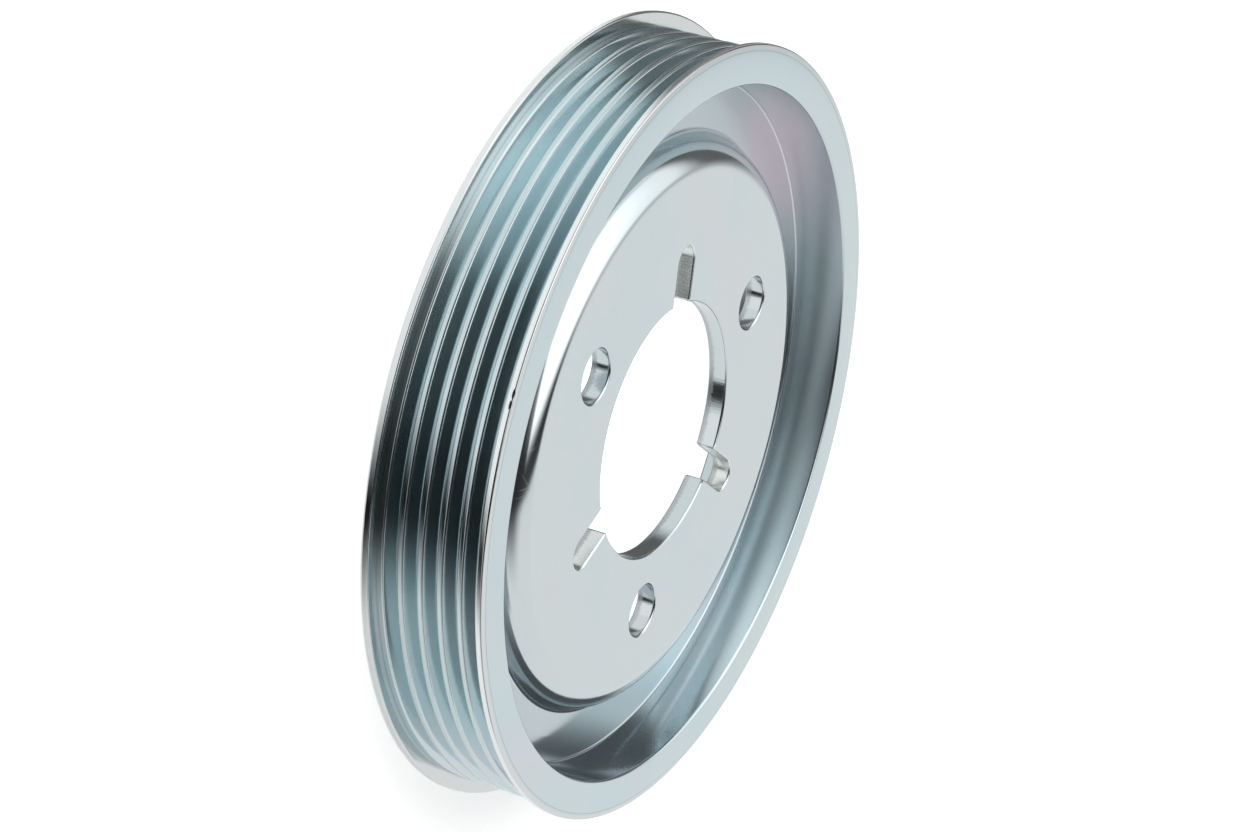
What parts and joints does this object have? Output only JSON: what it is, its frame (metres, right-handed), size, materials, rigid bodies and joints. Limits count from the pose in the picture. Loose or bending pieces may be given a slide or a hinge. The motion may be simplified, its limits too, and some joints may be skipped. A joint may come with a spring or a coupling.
{
  "type": "crankshaft pulley",
  "caption": "One-piece dished steel belt pulley with a ribbed rim between two flanges, a round bore, bolt holes and open notches.",
  "frame": {"origin": "on the axis, in the plane of the mounting face at the back of the hub, which is the centre of the bolt circle", "axes": "+Z along the axis towards the dished front, +X through a bolt hole"},
  "size_m": [0.1346, 0.1346, 0.021],
  "materials": {
    "zinc_plated_steel": "bright zinc plating with a slight blue tint over turned and pressed steel"
  },
  "bodies": {
    "root": {"pulley": "zinc_plated_steel"}
  },
  "joints": []
}
